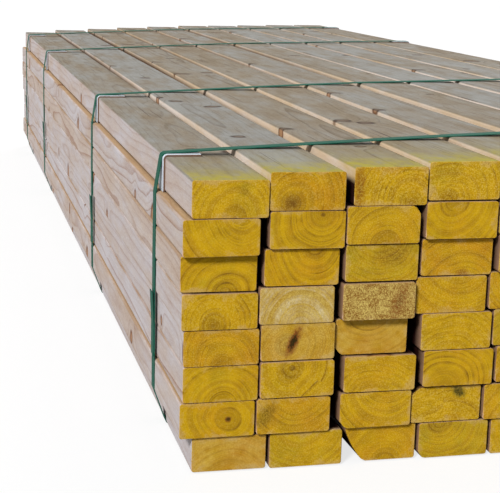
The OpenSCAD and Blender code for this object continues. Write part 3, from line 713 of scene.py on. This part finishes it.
for layer in LAYERS:
    boxes = np.array(stud_boxes[layer])
    lows = boxes[:, 0]
    highs = boxes[:, 1]
    count = len(boxes)
    on_top = layer == TOP_LAYER
    level = 1 if on_top else -1 if layer == LAYERS[0] else 0
    thicknesses = highs[:, 2] - lows[:, 2] - (0 if on_top else random.uniform(*JOINT_GAP, count))
    places = np.stack([(lows[:, 0] + highs[:, 0]) / 2, lows[:, 1], lows[:, 2] + thicknesses / 2], axis=1)
    points = bpy.data.meshes.new(layer + "_places")
    points.from_pydata(places.tolist(), [], [])
    share = points.attributes.new("thickness_share", "FLOAT", "POINT")
    share.data.foreach_set("value", thicknesses / stud_thickness)
    roll = points.attributes.new("roll", "FLOAT", "POINT")
    roll.data.foreach_set("value", random.uniform(-ROLL, ROLL, count))
    studs = made_by(stack_tree, "studs_" + layer, points, {
        "Width": stud_width, "Thickness": stud_thickness, "Length": stud_length,
        "Edge radius": EDGE_RADIUS, "End ease": END_EASE, "Pine": pine,
    })
    mesh = studs.data
    spots = np.empty(len(mesh.vertices) * 3, np.float32)
    mesh.vertices.foreach_get("co", spots)
    spots = spots.reshape(-1, 3)
    between = (highs[:-1, 0] + lows[1:, 0]) / 2
    column = np.searchsorted(between, spots[:, 0])
    from_top = LAYERS.index(TOP_LAYER) - LAYERS.index(layer)

    # The bark edges of the waned studs
    in_stud = (spots - lows[column]) / MM
    wane = np.zeros(len(spots))
    for i in range(count):
        if (layer, i) in WANED:
            mine = column == i
            full = (highs[i, 2] - lows[i, 2]) / MM
            in_stud[mine], wane[mine] = pulled_to_log(in_stud[mine], full, WANED[layer, i], stud_width / MM)
    mesh.vertices.foreach_set("co", (lows[column] + in_stud * MM).astype(np.float32).ravel())
    mesh.update()
    laid_out(mesh, column, in_stud, MAP_STRIPS[level])

    # Each stud's own look: its place in the log, its shade, its paint and its stains
    pith = np.stack([random.uniform(5, 85, count), random.uniform(-45, 90, count)], axis=1)
    drift = random.uniform(-PITH_DRIFT, PITH_DRIFT, (count, 2))
    look = np.stack([random.uniform(0, 1, count), random.uniform(-1, 1, count), thicknesses / MM], axis=1)
    kinds = list(SEEN_ENDS[from_top])
    kinds += list(random.choice(["golden", "orange", "olive"], count - len(kinds)))
    paint_look = np.array([END_KINDS[kind] for kind in kinds])
    paint_look[:, 1] += random.uniform(-0.15, 0.15, count)
    stains = np.array([END_STAINS.get((from_top, i), (0, 0, 1, 0, 1, 0, 0)) for i in range(count)], float)
    stains[:, 3] = np.radians(stains[:, 3])
    for i, place in enumerate(SEEN_PITH[from_top]):
        pith[i] = place
    open_faces = np.zeros((count, 3))
    open_faces[0, 0] = 1
    open_faces[-1, 1] = 1
    open_faces[:, 2] = level

    # Places in the log, in millimetres; its third axis runs out from the pith through the middle of
    # the stud
    middle = np.array([stud_width, stud_thickness]) / 2 / MM
    outward = middle - pith
    outward /= np.maximum(np.linalg.norm(outward, axis=1, keepdims=True), 0.1)
    along = in_stud[:, 1] * MM
    off_pith = in_stud[:, [0, 2]] - pith[column] - drift[column] * along[:, None]
    out = outward[column]
    in_log = np.stack([
        off_pith[:, 0] * out[:, 1] - off_pith[:, 1] * out[:, 0],
        in_stud[:, 1],
        off_pith[:, 0] * out[:, 0] + off_pith[:, 1] * out[:, 1],
    ], axis=1)
    for name, values in (("in_stud", in_stud), ("in_log", in_log), ("stud_look", look[column]),
                         ("open_faces", open_faces[column]), ("paint_look", paint_look[column]),
                         ("stain_place", stains[column, :3]), ("stain_form", stains[column, 3:6])):
        attribute = mesh.attributes.new(name, "FLOAT_VECTOR", "POINT")
        attribute.data.foreach_set("vector", values.astype(np.float32).ravel())
    for name, values in (("wane", wane), ("mould", stains[column, 6])):
        attribute = mesh.attributes.new(name, "FLOAT", "POINT")
        attribute.data.foreach_set("value", values.astype(np.float32))
    mesh.polygons.foreach_set("use_smooth", [True] * len(mesh.polygons))
    mesh.set_sharp_from_angle(angle=math.radians(30))
    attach(studs, "root")
    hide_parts(layer)


# Straps: flat bands of green polyester, drawn tight round the pack by a tool that welds the overlap
# by friction and leaves a short tail. The rolled faces are dull from dust and handling.
SCUFF_SIZE = 12 * MM
strap_material = bpy.data.materials.new("green_polyester_strap")
strap_material.use_nodes = True
strap_tree = strap_material.node_tree
strap_tree.nodes.clear()
strap_place = add(strap_tree, "ShaderNodeTexCoord", out="Object")
strap_scuff = add(strap_tree, "ShaderNodeTexNoise",
                  {"Vector": strap_place, "Scale": 1 / SCUFF_SIZE, "Detail": 4.0})
strap_colour = add(strap_tree, "ShaderNodeMix",
                   {0: strap_scuff, 6: linear("#0E4738"), 7: linear("#1A5E4B")}, out=2, data_type="RGBA")
strap_relief = add(strap_tree, "ShaderNodeBump",
                   {"Strength": 0.3, "Distance": 0.2 * MM, "Height": strap_scuff})
strap_surface = add(strap_tree, "ShaderNodeBsdfPrincipled",
                    {"Base Color": strap_colour, "Roughness": 0.45, "Specular IOR Level": 0.014,
                     "Normal": strap_relief})
add(strap_tree, "ShaderNodeOutputMaterial", (strap_surface,))
for name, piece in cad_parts.items():
    if name.startswith("strap_"):
        piece.data.materials.clear()
        piece.data.materials.append(strap_material)


# Corner guards: short angles of recycled plastic, set under the straps so that they don't cut into the upper
# edges of the pack. The part of their thickness next to the wood is painted brown, a painted shadow of the
# gap between guard and stud. The white is satin, and dirty in places.
GUARD_WHITE_DEPTH = 0.7 * MM
GUARD_THICKNESS = 3 * MM
DIRT_SIZE = 20 * MM
guard_material = bpy.data.materials.new("white_skinned_plastic")
guard_material.use_nodes = True
guard_tree = guard_material.node_tree
guard_tree.nodes.clear()
guard_place = add(guard_tree, "ShaderNodeTexCoord", out="Object")
guard_x, _, guard_z = add(guard_tree, "ShaderNodeSeparateXYZ", (guard_place,)).node.outputs
guard_dirt = add(guard_tree, "ShaderNodeTexNoise",
                 {"Vector": guard_place, "Scale": 1 / DIRT_SIZE, "Detail": 4.0})
guard_white = add(guard_tree, "ShaderNodeMix", {0: guard_dirt, 6: linear("#E6ECF4"), 7: linear("#BCC6D4")},
                  out=2, data_type="RGBA")
# Painted shadow colour for the guards, darker where dirty
guard_painted_shadow = add(guard_tree, "ShaderNodeMix", {0: guard_dirt, 6: linear("#7A5B48"), 7: linear("#4C382C")},
                  out=2, data_type="RGBA")

# How far a point stands off the edge of the stud that the guard sits on, the first or the last one
last_high = stud_boxes[TOP_LAYER][-1][1]
guard_right = add(guard_tree, "ShaderNodeMath", (guard_x, 0.0), operation="GREATER_THAN")
off_left = add(guard_tree, "ShaderNodeMath", (float(first_low[0]), guard_x), operation="SUBTRACT")
off_right = add(guard_tree, "ShaderNodeMath", (guard_x, float(last_high[0])), operation="SUBTRACT")
off_side = add(guard_tree, "ShaderNodeMath", (off_left, off_right), operation="MAXIMUM")
edge_top = add(guard_tree, "ShaderNodeMix",
               {0: guard_right, 2: float(first_high[2]), 3: float(last_high[2])})
off_top = add(guard_tree, "ShaderNodeMath", (guard_z, edge_top), operation="SUBTRACT")
off_bend = add(guard_tree, "ShaderNodeCombineXYZ", (off_side, off_top))
off_bend = add(guard_tree, "ShaderNodeVectorMath", (off_bend, (EDGE_RADIUS, EDGE_RADIUS, 0)),
               operation="ADD")
off_bend = add(guard_tree, "ShaderNodeVectorMath", (off_bend, (0, 0, 0)), operation="MAXIMUM")
off_bend = add(guard_tree, "ShaderNodeVectorMath", (off_bend,), out="Value", operation="LENGTH")
off_stud = add(guard_tree, "ShaderNodeMath", (off_bend, EDGE_RADIUS), operation="SUBTRACT")
# Painted shadow: the band of the guard's thickness nearest the wood is brown, standing in for the shaded gap
# behind the guard
shadow_band_top = GUARD_THICKNESS - GUARD_WHITE_DEPTH
guard_shadow_band = add(guard_tree, "ShaderNodeMapRange", (off_stud, shadow_band_top + 0.2 * MM, shadow_band_top))
guard_colour = add(guard_tree, "ShaderNodeMix", {0: guard_shadow_band, 6: guard_white, 7: guard_painted_shadow}, out=2,
                   data_type="RGBA")
guard_surface = add(guard_tree, "ShaderNodeBsdfPrincipled",
                    {"Base Color": guard_colour, "Roughness": 0.45})
add(guard_tree, "ShaderNodeOutputMaterial", (guard_surface,))
for name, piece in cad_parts.items():
    if name.startswith("guard_"):
        piece.data.materials.clear()
        piece.data.materials.append(guard_material)


# Floor and light: a plain white floor under a wide white sky, with a soft lamp from the upper left and
# a weaker one from behind.
FLOOR_HALF = 30
FLOOR_DROP = 0.5 * MM
FLOOR_LIFT = 0.75
SKY_STRENGTH = 0.34
# Each lamp's strength, and its spread and turn in degrees
LAMPS = {
    "soft_lamp": {"strength": 3.4, "spread": 12, "turn": (54, 0, -40)},
    "fill_lamp": {"strength": 1.0, "spread": 40, "turn": (55, 0, 140)},
}
floor_mesh = bpy.data.meshes.new("floor")
floor_ways = ((-1, -1), (1, -1), (1, 1), (-1, 1))
floor_corners = [(x * FLOOR_HALF, y * FLOOR_HALF, -FLOOR_DROP) for x, y in floor_ways]
floor_mesh.from_pydata(floor_corners, [], [(0, 1, 2, 3)])
floor = bpy.data.objects.new("floor", floor_mesh)
scene.collection.objects.link(floor)
floor_material = bpy.data.materials.new("white_floor")
floor_material.use_nodes = True
floor_tree = floor_material.node_tree
floor_tree.nodes.clear()
floor_ray = add(floor_tree, "ShaderNodeLightPath").node.outputs
floor_seen = floor_ray["Is Camera Ray"]
for kind in ("Is Glossy Ray", "Is Transmission Ray"):
    floor_seen = add(floor_tree, "ShaderNodeMath", (floor_seen, floor_ray[kind]), operation="MAXIMUM")
floor_lift = add(floor_tree, "ShaderNodeMath", (floor_seen, FLOOR_LIFT), operation="MULTIPLY")
floor_colour = add(floor_tree, "ShaderNodeMix", {0: floor_seen, 6: linear("#A0A0A0"), 7: linear("#FAFAFA")},
                   out=2, data_type="RGBA")
floor_white = add(floor_tree, "ShaderNodeEmission", {"Color": (1, 1, 1, 1), "Strength": 1.0})
floor_surface = add(floor_tree, "ShaderNodeBsdfDiffuse", {"Color": floor_colour})
floor_surface = add(floor_tree, "ShaderNodeMixShader", (floor_lift, floor_surface, floor_white))
add(floor_tree, "ShaderNodeOutputMaterial", (floor_surface,))
floor_mesh.materials.append(floor_material)

sky = bpy.data.worlds.new("white_sky")
sky.use_nodes = True
sky_tree = sky.node_tree
sky_tree.nodes.clear()
sky_ray = add(sky_tree, "ShaderNodeLightPath").node.outputs
sky_seen = sky_ray["Is Camera Ray"]
for kind in ("Is Glossy Ray", "Is Transmission Ray"):
    sky_seen = add(sky_tree, "ShaderNodeMath", (sky_seen, sky_ray[kind]), operation="MAXIMUM")
sky_level = add(sky_tree, "ShaderNodeMapRange", {"Value": sky_seen, "To Min": SKY_STRENGTH, "To Max": 1.0})
sky_light = add(sky_tree, "ShaderNodeBackground", {"Color": (1, 1, 1, 1), "Strength": sky_level})
add(sky_tree, "ShaderNodeOutputWorld", (sky_light,))
scene.world = sky

for lamp_name, lamp_look in LAMPS.items():
    lamp_data = bpy.data.lights.new(lamp_name, "SUN")
    lamp_data.energy = lamp_look["strength"]
    lamp_data.angle = math.radians(lamp_look["spread"])
    lamp = bpy.data.objects.new(lamp_name, lamp_data)
    lamp.rotation_euler = [math.radians(angle) for angle in lamp_look["turn"]]
    scene.collection.objects.link(lamp)
